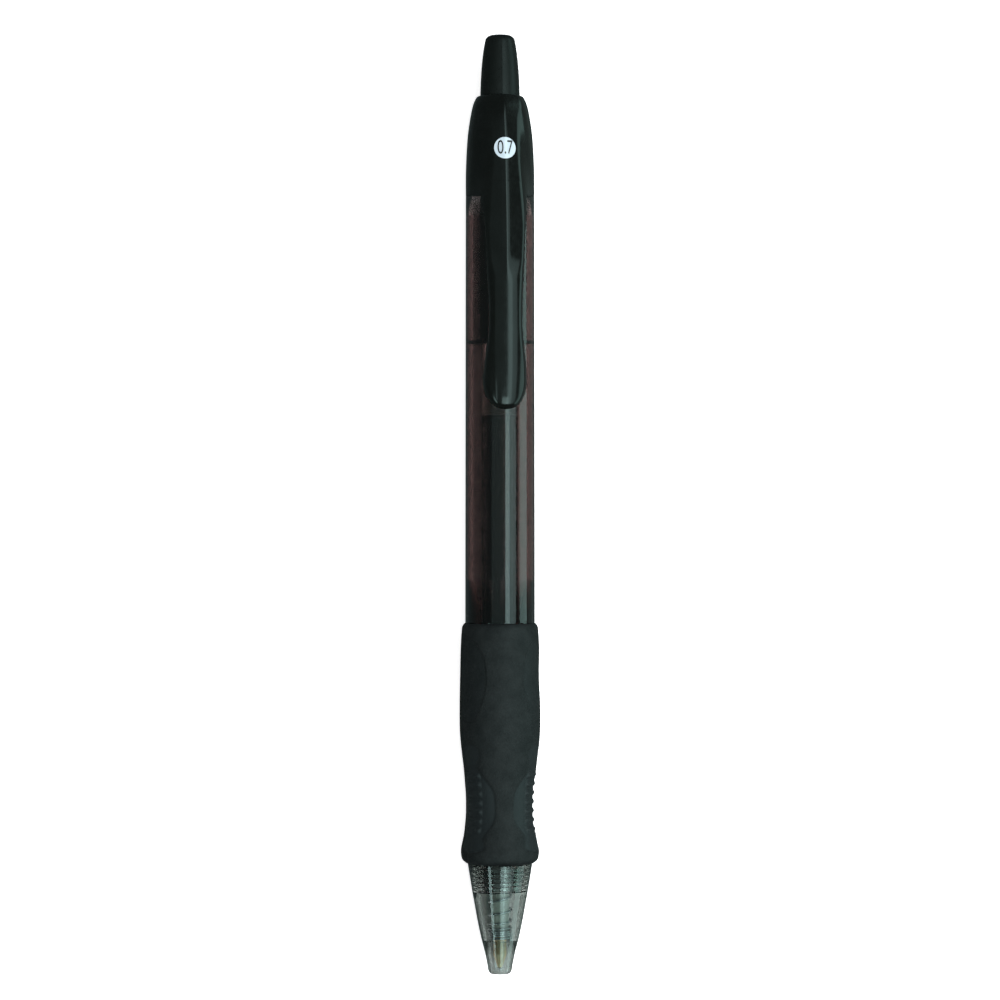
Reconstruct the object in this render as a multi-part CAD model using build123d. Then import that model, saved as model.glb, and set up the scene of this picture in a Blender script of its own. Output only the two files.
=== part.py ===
from build123d import *
import math
import os

# Retractable gel pen, lying on a table with its pocket clip on top.
#
# Every piece is first modelled upright: the pen's axis is +Z, the writing end
# is at z = 0 and the clip faces -Y. stow() then lays it down, so that in the
# part's own frame the writing end points to -Y, the clip faces +Z, and the
# origin is on the table under the middle of the pen. Millimetres throughout.

# ---- stations along the pen, from the nose opening ----
pen_length = 143.0
nose_top = 16.8          # the grip's lower edge
grip_top = 53.4
snap_ring_z = 95.85      # lower face of the ring that locks the cam sleeve
barrel_top = 118.3       # the housing's visible lower edge
housing_top = 133.7

# ---- barrel ----
barrel_radius_low = 5.30     # just above the grip
barrel_radius_high = 5.22
grip_seat_radius = 4.25      # the barrel under the grip
front_bore_radius = 3.0
main_bore_radius = 4.2
bore_taper = (54.5, 60.0)    # where the bore opens from front to main
cone_depth = 2.95            # countersink that centres the housing
cone_top_radius = 5.02
cone_foot_radius = 4.48

# ---- nose thread: single start, right hand ----
thread_pitch = 0.7
thread_turns_out = 6
spigot_end = 12.6
spigot_radius = 3.42         # root of the male thread
thread_height = 0.30
thread_start = 13.0
thread_stop = 16.1
thread_gap = 0.06            # running gap on every flank

# ---- writing end ----
nose_bore = 1.15
tip_radius = 1.0
ball_radius = 0.35           # 0.7 mm line
ball_front = 0.85            # how far the ball sits inside the nose at rest
holder_front = 6.4
holder_radius = 1.38
collar = (20.2, 21.0)        # spring collar of the tip holder
holder_end = 27.0
spring_seat = 5.1
spring_radius = 1.72         # to the wire's centre
wire_radius = 0.17

# ---- refill ----
tube_radius = 2.8
tube_bore = 2.2
tube_end = 107.0
tail_height = 0.8
ink_top = 85.0
follower_top = 91.5
dish_depth = 0.5             # sag of both liquid surfaces

# ---- click mechanism ----
stroke = 4.4                 # full press
lock_travel = 3.6            # where the pen stays open
cam_count = 4                # grooves in the sleeve, splines on the rotor
tooth_count = 2 * cam_count
tooth_depth = 0.8
sleeve_radius = 4.1
sleeve_bore = 3.5
sleeve_top = 125.6
rib_inner_radius = 3.05
rib_width = 40.0             # degrees
spline_width = 30.0
spline_radius = 3.42
spline_top = 113.4
rotor_foot = tube_end + tail_height
rotor_top = 115.0
rotor_radius = 2.75
rotor_foot_radius = 2.3
pilot_radius = 1.2
plunger_radius = 2.85
cam_slope = 20.0             # degrees, on the splines' tops and the ribs' feet

# ---- button ----
button_radius = 3.0
button_hole = 3.1
button_bore = 2.0
button_socket_top = 140.6
lip_thickness = 2.3
flange_radius = 3.4

# ---- clip ----
clip_end = 85.6
clip_crown_offset = 3.0      # centre of the crowned top, off the pen's axis
clip_gap_radius = 6.3        # underside of the arm, from the pen's axis
clip_flex_gap = 0.02         # parting between the arm and the housing
barrel_relief = 0.12         # bump of the clip to the barrel

# ---- grip ----
grip_sides = 3
dimple_turn = 60.0           # first finger hollow, degrees from the clip
rib_count = 7
rib_pitch = 1.37
rib_first = 22.2
rib_size = (3.1, 0.5)        # across, along
rib_height = 0.22


def turned(*outline):
    """Solid of revolution about the pen's axis. outline is a closed list of (radius, z) points."""
    face = make_face(Plane.XZ * Polyline(*outline, close=True))
    return revolve(face, Axis.Z)


def turned_curve(curve_points, *rest):
    """Revolve an outline whose first stretch is a smooth curve and whose rest is straight."""
    curve = Spline(*curve_points)
    straight = Polyline(curve_points[-1], *rest, curve_points[0])
    return revolve(make_face(Plane.XZ * (Curve() + [curve, straight])), Axis.Z)


def rod(radius, low, high):
    """Cylinder on the pen's axis between two heights."""
    return Pos(0, 0, low) * Cylinder(radius, high - low, align=(Align.CENTER, Align.CENTER, Align.MIN))


def tube(outer, inner, low, high):
    """Ring on the pen's axis between two heights."""
    return rod(outer, low, high) - rod(inner, low - 1, high + 1)


def sector(outer, inner, low, high, width, centre):
    """Piece of a ring that spans width degrees about the direction centre."""
    reach = 2 * outer
    half = math.radians(width / 2)
    wedge = make_face(Polyline(
        (0, 0), (reach * math.cos(half), -reach * math.sin(half)),
        (reach * math.cos(half), reach * math.sin(half)), close=True))
    blade = Pos(0, 0, low) * Rot(0, 0, centre) * extrude(wedge, high - low)
    return tube(outer, inner, low, high) & blade


def each_way(count, first=0.0):
    """Directions in degrees, evenly spaced round the pen."""
    return [first + 360.0 * k / count for k in range(count)]


def notches(radius, level, depth, first):
    """Cutters for a crown of V teeth whose notches open at the height level."""
    half_width = math.pi * radius / tooth_count
    notch = make_face(Plane.XZ * Polyline(
        (-half_width, level), (half_width, level), (0, level + depth), close=True))
    blade = Pos(0, radius + 1, 0) * extrude(notch, radius + 1)
    return [Rot(0, 0, angle) * blade for angle in each_way(tooth_count, first)]


def helical_ridge(radius, height, root_width, crest_width, low, high):
    """Thread ridge that stands height out of a cylinder, from low to high."""
    sunk = 0.08
    flank = (root_width - crest_width) / 2 / height
    buried_width = root_width + 2 * flank * sunk
    path = Pos(0, 0, low) * Helix(thread_pitch, high - low, radius)
    profile = make_face(Plane.XZ * Polyline(
        (radius - sunk, low - buried_width / 2), (radius + height, low - crest_width / 2),
        (radius + height, low + crest_width / 2), (radius - sunk, low + buried_width / 2), close=True))
    return sweep(profile, path=path, is_frenet=True)


# ---------------------------------------------------------------- body shell

def make_barrel():
    """Clear smoke tube: threaded spigot, grip seat, wide body, cone for the housing."""
    cone_foot = barrel_top - cone_depth
    shell = turned(
        (front_bore_radius, spigot_end), (spigot_radius, spigot_end), (spigot_radius, nose_top),
        (grip_seat_radius, nose_top), (grip_seat_radius, grip_top),
        (barrel_radius_low, grip_top), (barrel_radius_high, barrel_top),
        (cone_top_radius, barrel_top), (cone_foot_radius, cone_foot), (main_bore_radius, cone_foot),
        (main_bore_radius, bore_taper[1]), (front_bore_radius, bore_taper[0]))
    groove = tube(main_bore_radius + 0.3, main_bore_radius - 1, snap_ring_z - 0.03, snap_ring_z + 0.61)
    thread = helical_ridge(spigot_radius, thread_height, 0.42, 0.14, thread_start, thread_stop)
    return shell - groove + thread


def grip_outline():
    """Radius of the grip's lands by height: flared foot, waist, full palm, rounded top."""
    return [
        (4.98, 16.8), (5.50, 17.15), (5.90, 17.9), (5.97, 18.6), (5.84, 19.7), (5.62, 20.7),
        (5.36, 22.5), (5.29, 24.3), (5.28, 26.1), (5.32, 28.0), (5.42, 29.8), (5.58, 31.6),
        (5.80, 33.4), (5.98, 35.0), (6.10, 36.4), (6.16, 38.0), (6.17, 40.0), (6.14, 43.0),
        (6.08, 46.2), (5.95, 50.8), (5.84, 52.4), (5.66, 53.1), (5.40, 53.4)]


def hollowed(body, centre_depth, offset, low, high, direction):
    """body cut by an off-centre barrel shape, which leaves one leaf-shaped finger hollow.

    centre_depth lists (radius, z) down the middle of the hollow. The shape's axis
    lies offset behind the pen's, so the hollow is flatter than the grip."""
    reach = 12.0
    curve = Spline(*[(offset + radius, z) for radius, z in centre_depth])
    first, last = centre_depth[0], centre_depth[-1]
    rest = Polyline(
        (offset + last[0], last[1]), (reach, last[1]), (reach, high), (0, high), (0, low),
        (reach, low), (reach, first[1]), (offset + first[0], first[1]))
    shape = revolve(make_face(Plane.XZ * (Curve() + [curve, rest])), Axis.Z)
    return body & (Rot(0, 0, direction) * Pos(0, offset, 0) * shape)


def make_grip():
    """Rubber sleeve with three sides, each with a palm hollow, a finger hollow and short ribs."""
    outline = grip_outline()
    sleeve = turned_curve(outline, (0, outline[-1][1]), (0, outline[0][1]))
    palm = [(6.05, 51.6), (5.87, 50.0), (5.78, 47.0), (5.84, 43.5), (5.98, 41.0), (6.16, 38.4), (6.25, 37.6)]
    finger = [
        (6.12, 36.2), (5.91, 34.8), (5.45, 31.0), (5.09, 28.2), (5.00, 25.8), (5.09, 23.2),
        (5.51, 20.7), (5.90, 18.9), (6.1, 18.0)]
    low, high = outline[0][1] - 1, outline[-1][1] + 1
    for direction in each_way(grip_sides, dimple_turn):
        sleeve = hollowed(sleeve, list(reversed(palm)), 2.6, low, high, direction)
        sleeve = hollowed(sleeve, list(reversed(finger)), 1.0, low, high, direction)
    for direction in each_way(grip_sides, dimple_turn):
        for k in range(rib_count):
            z = rib_first + k * rib_pitch
            floor = 5.02 + 0.012 * (z - 25.8) ** 2
            bar = Box(rib_size[0], 0.8, rib_size[1], align=(Align.CENTER, Align.MAX, Align.CENTER))
            sleeve += Rot(0, 0, direction) * Pos(0, -(floor - 0.8 + rib_height), z) * bar
    return sleeve - rod(grip_seat_radius, low, high)


def make_nose():
    """Clear cone: tip bore, spring seat, widening cavity and the female thread."""
    corner = (1.88, 1.2)
    outer = [
        Polyline((nose_bore, 0), (1.28, 0)),
        ThreePointArc((1.28, 0), (1.68, 0.42), corner),
        ThreePointArc(corner, (3.57, 9.07), (4.92, nose_top)),
    ]
    minor = spigot_radius + thread_gap
    inner = Polyline(
        (4.92, nose_top), (minor + 0.32, nose_top), (minor, nose_top - 0.32), (minor, spigot_end - 0.2),
        (3.15, spigot_end - 0.4), (2.12, spring_seat + 0.6), (2.12, spring_seat), (1.5, spring_seat),
        (1.5, 2.0), (nose_bore, 1.6), (nose_bore, 0))
    cone = revolve(make_face(Plane.XZ * (Curve() + outer + [inner])), Axis.Z)
    groove = helical_ridge(
        minor, thread_height, 0.42 + 2 * thread_gap, 0.14 + 2 * thread_gap,
        thread_start - thread_pitch, thread_stop + 0.9 * thread_pitch)
    return cone - groove


# ---------------------------------------------------------------- housing and clip

def housing_outline():
    """Radius of the housing by height, from its lower edge to its rounded shoulder."""
    return [
        (5.22, barrel_top), (5.23, 120.5), (5.20, 122.6), (5.13, 124.5), (5.03, 126.2), (4.88, 128.0),
        (4.63, 129.8), (4.30, 131.6), (4.02, 132.6), (3.72, 133.25), (3.40, 133.62), (3.20, housing_top)]


def clip_ridge():
    """Crowned bar from the housing's shoulder to the clip's round end, still in one piece."""
    crown = [
        (6.1, 85.2), (6.8, 86.2), (7.32, 88.0), (7.65, 91.0), (7.8, 95.0), (7.8, 100.0), (7.7, 105.0),
        (7.5, 110.0), (7.15, 115.0), (6.75, 119.0), (6.2, 123.0), (5.55, 127.0), (4.85, 130.0), (4.0, 132.6)]
    bar = Pos(0, -clip_crown_offset, 0) * turned_curve(
        [(height - clip_crown_offset, z) for height, z in crown], (0, 132.6), (0, 85.2))
    half = [
        (3.37, 90.0), (3.15, 93.2), (2.72, 96.6), (2.58, 99.5), (2.62, 102.5), (2.86, 106.0),
        (3.18, 111.0), (3.5, 114.2), (4.0, 117.0), (4.7, 120.0), (5.2, 124.0), (5.4, 130.0)]
    side = [Spline(*[(sign * x, z) for x, z in half]) for sign in (1, -1)]
    tip = ThreePointArc((-half[0][0], half[0][1]), (0, clip_end), half[0])
    end = Polyline(half[-1], (5.4, 132.6), (-5.4, 132.6), (-half[-1][0], half[-1][1]))
    plan = make_face(Plane.XZ * (Curve() + side + [tip, end]))
    return bar & extrude(plan, 12)


def clip_underside():
    """What the arm is hollowed by: the gap over the barrel, with a bump that nears it at the end."""
    low = barrel_radius_high + barrel_relief
    return turned(
        (0, 80), (low + 1.5, 80), (low + 0.6, 86.4), (low, 87.8), (low, 89.6), (clip_gap_radius, 93.0),
        (clip_gap_radius, 113.0), (low + 0.25, 117.6), (low + 0.25, barrel_top), (0, barrel_top))


def make_clip(ridge):
    """Arm of the clip, up to the housing's lower edge."""
    arm = ridge & (Pos(0, 0, 50) * Box(30, 30, 2 * (barrel_top - clip_flex_gap - 50)))
    return arm - clip_underside()


def make_housing(ridge):
    """Top shell that carries the clip: shoulder, button hole, cone that plugs the barrel."""
    outline = housing_outline()
    plug_foot = barrel_top - cone_depth
    shell = turned_curve(
        outline, (button_hole, housing_top), (button_hole, housing_top - lip_thickness),
        (3.62, housing_top - lip_thickness), (3.62, sleeve_top), (sleeve_radius, sleeve_top),
        (sleeve_radius, plug_foot), (cone_foot_radius - 0.03, plug_foot),
        (cone_top_radius - 0.03, barrel_top))
    root = ridge & (Pos(0, 0, 150) * Box(30, 30, 2 * (150 - barrel_top)))
    return shell + (root - rod(4.3, barrel_top - 1, housing_top + 1) - rod(3.9, 0, housing_top + 1))


# ---------------------------------------------------------------- click mechanism

def make_button():
    """Thumb button: domed top, curved taper, stop flange, socket for the plunger."""
    crown = [
        Polyline((0, pen_length), (1.3, pen_length)),
        ThreePointArc((1.3, pen_length), (2.0, pen_length - 0.45), (2.3, pen_length - 1.05)),
        ThreePointArc((2.3, pen_length - 1.05), (2.74, 139.0), (button_radius, 134.0)),
    ]
    flange_top = housing_top - lip_thickness - 0.05
    rest = Polyline(
        (button_radius, 134.0), (button_radius, flange_top), (flange_radius, flange_top),
        (flange_radius, flange_top - 0.9), (button_bore, flange_top - 0.9),
        (button_bore, button_socket_top), (0, button_socket_top), (0, pen_length))
    return revolve(make_face(Plane.XZ * (Curve() + crown + [rest])), Axis.Z)


def make_plunger():
    """Plunger under the button: stem, skirt with guide fins and a crown of cam teeth."""
    shoulder = housing_top - lip_thickness - 0.95
    crown_level = rotor_top - tooth_depth + 0.05
    body = rod(button_bore, shoulder - 1, button_socket_top - 0.1)
    body += rod(plunger_radius, crown_level, shoulder)
    body -= rod(pilot_radius + 0.15, crown_level - 1, shoulder - 3)
    for blade in notches(plunger_radius, crown_level - 0.001, tooth_depth, 180.0 / tooth_count):
        body -= blade
    for angle in each_way(cam_count, 45.0):
        body += sector(spline_radius, 2.6, crown_level + 2.2, crown_level + 5.2, spline_width, angle)
    return body


def make_rotor():
    """Turning cam on the refill: foot, splines with sloped tops, crown of teeth, pilot pin."""
    neck_top = rotor_foot + 1.6
    body = rod(rotor_foot_radius, rotor_foot, neck_top) + rod(rotor_radius, neck_top, rotor_top)
    for blade in notches(rotor_radius, rotor_top - tooth_depth, tooth_depth, 0.0):
        body -= Pos(0, 0, 2 * rotor_top - tooth_depth) * mirror(blade, Plane.XY)
    body += rod(pilot_radius, neck_top, rotor_top + 2.0)
    above = Box(12, 12, 3, align=(Align.CENTER, Align.CENTER, Align.MIN))
    slope = Pos(0, 0, spline_top) * Rot(-cam_slope, 0, 0) * above
    for angle in each_way(cam_count, 45.0):
        spline = sector(spline_radius, 2.5, spline_top - 3.0, spline_top, spline_width, 0.0)
        body += Rot(0, 0, angle) * (spline - slope)
    return body


def make_cam_sleeve():
    """Guide tube in the barrel: four ribs with sloped ends, snap ring at its foot."""
    sleeve = tube(sleeve_radius, sleeve_bore, snap_ring_z, sleeve_top)
    sleeve += tube(main_bore_radius + 0.25, sleeve_bore, snap_ring_z, snap_ring_z + 0.55)
    rib_foot = spline_top - lock_travel
    below = Box(12, 12, 3, align=(Align.CENTER, Align.CENTER, Align.MAX))
    slope = Pos(0, 0, rib_foot) * Rot(-cam_slope, 0, 0) * below
    for angle in each_way(cam_count):
        rib = sector(sleeve_bore + 0.1, rib_inner_radius, rib_foot - 0.8, sleeve_top, rib_width, 0.0)
        sleeve += Rot(0, 0, angle) * (rib - slope)
    return sleeve


# ---------------------------------------------------------------- refill

def make_refill_tube():
    return tube(tube_radius, tube_bore, collar[1], tube_end)


def dished(top):
    """Ball whose underside dishes the top of a liquid column that ends at the height top."""
    ball = (tube_bore ** 2 + dish_depth ** 2) / (2 * dish_depth)
    return Pos(0, 0, top - dish_depth + ball) * Sphere(ball)


def make_ink():
    """Black gel between the tip holder and the grease plug, with a dished top."""
    return rod(tube_bore, holder_end, ink_top) - dished(ink_top)


def make_follower():
    """Clear grease that rides on the ink and keeps it from drying."""
    column = rod(tube_bore, holder_end, follower_top) - dished(follower_top)
    return column - make_ink()


def make_tail_plug():
    """Stopper in the refill's open end, with an air vent."""
    plug = rod(tube_radius, tube_end, tube_end + tail_height) + rod(tube_bore, tube_end - 3, tube_end)
    return plug - rod(0.5, tube_end - 4, tube_end + tail_height - 0.3) \
        - Pos(0, 0, tube_end + tail_height) * Box(8, 0.6, 0.7)


def make_tip_holder():
    """Plastic joint between the tube and the metal tip, with the collar that the spring pushes."""
    body = turned(
        (0, holder_front), (1.12, holder_front), (holder_radius, holder_front + 1.4),
        (holder_radius, collar[0]), (tube_radius - 0.05, collar[0]), (tube_radius - 0.05, collar[1]),
        (tube_bore, collar[1]), (tube_bore, holder_end), (0, holder_end))
    return body - rod(0.8, holder_front - 1, holder_front + 3.2) - rod(0.55, holder_front, holder_end + 1)


def make_metal_tip():
    """Turned tip: cone with the ball seat, shoulder, and shank in the holder."""
    rim = ball_front + 0.22
    body = turned(
        (0, rim), (0.38, rim), (0.52, rim + 0.5), (tip_radius, 3.0), (tip_radius, holder_front),
        (0.8, holder_front), (0.8, holder_front + 3.1), (0, holder_front + 3.1))
    seat = Pos(0, 0, ball_front + ball_radius) * Sphere(ball_radius + 0.01)
    return body - seat - rod(0.2, ball_front, holder_front + 4)


def make_ball():
    return Pos(0, 0, ball_front + ball_radius) * Sphere(ball_radius)


def make_spring():
    """Return spring: close coils at both ends, open coils between."""
    low, high = spring_seat + 0.02, collar[0] - 0.02
    close_pitch = 2 * wire_radius + 0.04
    front_turns, rear_turns, open_turns = 5, 3, 7
    first = low + wire_radius
    last = high - wire_radius
    stretches = [(first, close_pitch, front_turns)]
    open_low = first + front_turns * close_pitch
    open_high = last - rear_turns * close_pitch
    stretches.append((open_low, (open_high - open_low) / open_turns, open_turns))
    stretches.append((open_high, close_pitch, rear_turns))
    coils = []
    for start, pitch, turns in stretches:
        path = Pos(0, 0, start) * Helix(pitch, pitch * turns, spring_radius)
        section = Plane(origin=path @ 0, z_dir=path % 0) * Circle(wire_radius)
        coils.append(sweep(section, path=path, is_frenet=True))
    spring = coils[0]
    for start, coil in ((open_low, coils[1]), (open_high, coils[2])):
        spring = spring + coil + Pos(spring_radius, 0, start) * Sphere(wire_radius)
    return spring


# ---------------------------------------------------------------- assembly

grip = make_grip()
rest_height = grip.bounding_box().max.Y
ridge = clip_ridge()

pieces = {
    "barrel": make_barrel(),
    "grip_sleeve": grip,
    "nose_cone": make_nose(),
    "clip_housing": make_housing(ridge),
    "pocket_clip": make_clip(ridge),
    "cam_sleeve": make_cam_sleeve(),
    "push_button": make_button(),
    "plunger": make_plunger(),
    "cam_rotor": make_rotor(),
    "refill_tube": make_refill_tube(),
    "ink_column": make_ink(),
    "grease_follower": make_follower(),
    "tail_plug": make_tail_plug(),
    "tip_holder": make_tip_holder(),
    "metal_tip": make_metal_tip(),
    "writing_ball": make_ball(),
    "return_spring": make_spring(),
}


def stow(piece):
    """Lay an upright piece down: writing end to -Y, clip to +Z, lowest point on the table."""
    return Pos(0, -pen_length / 2, rest_height) * Rot(-90, 0, 0) * piece


os.makedirs("parts", exist_ok=True)
for name, piece in pieces.items():
    export_step(stow(piece), os.path.join("parts", name + ".step"))
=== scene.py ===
import math

import bmesh
import bpy
import numpy as np
from mathutils import Matrix, Vector


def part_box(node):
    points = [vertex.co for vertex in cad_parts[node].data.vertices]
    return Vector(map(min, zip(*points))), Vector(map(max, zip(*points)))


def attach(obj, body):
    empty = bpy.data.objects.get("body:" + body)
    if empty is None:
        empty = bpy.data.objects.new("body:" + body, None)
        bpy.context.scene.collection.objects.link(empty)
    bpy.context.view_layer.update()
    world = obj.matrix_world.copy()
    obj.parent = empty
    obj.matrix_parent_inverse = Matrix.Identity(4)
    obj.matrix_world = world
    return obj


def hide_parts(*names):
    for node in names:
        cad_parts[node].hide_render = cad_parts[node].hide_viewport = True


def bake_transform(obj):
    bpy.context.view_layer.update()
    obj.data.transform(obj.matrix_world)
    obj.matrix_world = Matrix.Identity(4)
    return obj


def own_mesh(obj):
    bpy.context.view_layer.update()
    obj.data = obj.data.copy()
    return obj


# Looks for the retractable gel pen.
#
# The pen lies along Y with its writing end towards -Y and its clip up. Pieces are
# worked out in millimetres round the pen's axis: a station s along the pen from
# the nose opening, x across, and h from the axis towards the clip. place() turns
# such a point into the row frame, in metres.

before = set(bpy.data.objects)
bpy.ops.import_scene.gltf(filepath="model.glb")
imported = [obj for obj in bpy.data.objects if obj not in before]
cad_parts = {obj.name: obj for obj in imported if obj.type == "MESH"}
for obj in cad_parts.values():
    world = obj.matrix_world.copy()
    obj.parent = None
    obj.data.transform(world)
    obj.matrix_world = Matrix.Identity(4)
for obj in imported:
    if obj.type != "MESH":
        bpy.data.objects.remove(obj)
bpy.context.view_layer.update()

MM = 0.001


def span(node):
    """(first station, last station) of a CAD node along the pen, in millimetres."""
    low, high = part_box(node)
    return low.y / MM + half_length, high.y / MM + half_length


def width(node):
    """Size of a CAD node across the pen, in millimetres."""
    low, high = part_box(node)
    return (high.x - low.x) / MM


button_low, button_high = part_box("push_button")
half_length = button_high.y / MM
axis_height = (button_low.z + button_high.z) / 2 / MM

# ---- stations and radii that the CAD sets ----
nose_top = span("nose_cone")[1]
grip_low, grip_top = span("grip_sleeve")
barrel_low, barrel_top = span("barrel")
housing_low, housing_top = span("clip_housing")
clip_end = span("pocket_clip")[0]
sleeve_low = span("cam_sleeve")[0]
tube_low, tube_high = span("refill_tube")
ink_low, ink_top = span("ink_column")
follower_top = span("grease_follower")[1]
spring_low, spring_high = span("return_spring")
tube_radius = width("refill_tube") / 2
tube_bore = width("ink_column") / 2
spring_radius = width("return_spring") / 2
button_top = 2 * half_length

housing_seam = barrel_top          # where the housing meets the barrel outside
plug_foot = housing_low            # where its plug ends inside the barrel

# ---- radii shared by several pieces ----
seat_radius = 4.25
barrel_radius = (5.30, 5.22)       # above the grip, under the housing
bore_radius = 4.2
cone_radius = (4.45, 4.99)         # foot and top of the housing's plug
thread_pitch = 0.7
thread_root = 3.42
thread_height = 0.30
thread_flank = 0.14                # how far one flank runs along the pen
thread_span = (13.0, 16.1)
grip_sides = 3
no_cut = 9.0                       # a radius outside every piece


# ------------------------------------------------------------------ geometry

def place(x, h, s):
    """Row-frame coordinates, in metres, of points given round the pen's axis."""
    return np.stack([x * MM, (s - half_length) * MM, (h + axis_height) * MM], axis=-1)


def smooth_curve(points):
    """Natural cubic through (station, value) points, as a function of the station."""
    knots, values = np.array(sorted(points), float).T
    gap = np.diff(knots)
    count = len(knots)
    system = np.eye(count)
    right = np.zeros(count)
    for k in range(1, count - 1):
        system[k, k - 1:k + 2] = gap[k - 1], 2 * (gap[k - 1] + gap[k]), gap[k]
        slope_before = (values[k] - values[k - 1]) / gap[k - 1]
        slope_after = (values[k + 1] - values[k]) / gap[k]
        right[k] = 6 * (slope_after - slope_before)
    bend = np.linalg.solve(system, right)

    def curve(s):
        s = np.clip(s, knots[0], knots[-1])
        k = np.clip(np.searchsorted(knots, s) - 1, 0, count - 2)
        a, b = knots[k + 1] - s, s - knots[k]
        straight = (values[k] * a + values[k + 1] * b) / gap[k]
        cubic_a = bend[k] * (a ** 3 / gap[k] - a * gap[k])
        cubic_b = bend[k + 1] * (b ** 3 / gap[k] - b * gap[k])
        return straight + (cubic_a + cubic_b) / 6

    return curve


def sharper(a, b, rounding):
    """Larger of two fields, with the crease between them rounded off."""
    return np.maximum(a, b) + np.maximum(rounding - abs(a - b), 0) ** 2 / (4 * rounding)


def merged(a, b, rounding):
    """Smaller of two fields, with the crease between them filled."""
    return -sharper(-a, -b, rounding)


def add_mesh(name, points, faces, body, material, crease=35):
    """New smooth-shaded object on a CAD body, with its faces turned outwards."""
    mesh = bpy.data.meshes.new(name)
    mesh.from_pydata(np.asarray(points).tolist(), [], faces)
    tidy = bmesh.new()
    tidy.from_mesh(mesh)
    bmesh.ops.remove_doubles(tidy, verts=tidy.verts, dist=1e-8)
    bmesh.ops.recalc_face_normals(tidy, faces=tidy.faces)
    tidy.to_mesh(mesh)
    tidy.free()
    mesh.polygons.foreach_set("use_smooth", [True] * len(mesh.polygons))
    if crease:
        mesh.set_sharp_from_angle(angle=math.radians(crease))
    mesh.materials.append(material)
    piece = bpy.data.objects.new(name, mesh)
    bpy.context.scene.collection.objects.link(piece)
    if body:
        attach(piece, body)
    return piece


def grid_faces(rows, columns, closed_rows=False):
    """Quads of a grid whose columns run round a closed loop."""
    last = rows if closed_rows else rows - 1
    faces = []
    for r in range(last):
        here, there = r * columns, (r + 1) % rows * columns
        for c in range(columns):
            right = (c + 1) % columns
            faces.append((here + c, here + right, there + right, there + c))
    return faces


def rounded(outline):
    """Outline of (radius, station, fillet) corners with each fillet drawn as an arc."""
    corners = [np.array(corner[:2], float) for corner in outline]
    fillets = [corner[2] if len(corner) > 2 else 0 for corner in outline]
    drawn = []
    for k, corner in enumerate(corners):
        if not fillets[k]:
            drawn.append(corner)
            continue
        before = corners[k - 1] - corner
        after = corners[(k + 1) % len(corners)] - corner
        reach = min(np.linalg.norm(before), np.linalg.norm(after)) / 2
        before, after = before / np.linalg.norm(before), after / np.linalg.norm(after)
        half = math.acos(np.clip(before @ after, -1, 1)) / 2
        cut = min(fillets[k] / math.tan(half), reach)
        start, end = corner + before * cut, corner + after * cut
        for t in np.linspace(0, 1, 7):
            drawn.append((1 - t) ** 2 * start + 2 * t * (1 - t) * corner + t ** 2 * end)
    return np.array(drawn)


def turned(name, outline, body, material, around=128, crease=35, shape=None):
    """Piece turned round the pen's axis from a closed outline of (radius, station) points.
    shape(radius, angle, station) can change the radius, for a thread."""
    outline = np.asarray(outline, float)
    angle = np.linspace(0, 2 * np.pi, around, endpoint=False)
    radius, turn = np.meshgrid(outline[:, 0], angle, indexing="ij")
    station = np.repeat(outline[:, 1][:, None], around, axis=1)
    if shape:
        radius = shape(radius, turn, station)
    points = place(radius * np.cos(turn), -radius * np.sin(turn), station).reshape(-1, 3)
    faces = grid_faces(len(outline), around, closed_rows=True)
    return add_mesh(name, points, faces, body, material, crease)


def gradient(field, x, h, s, step=0.01):
    """Slope of a field at points, by central differences."""
    return np.stack([
        field(x + step, h, s) - field(x - step, h, s),
        field(x, h + step, s) - field(x, h - step, s),
        field(x, h, s + step) - field(x, h, s - step)], axis=-1) / (2 * step)


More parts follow.
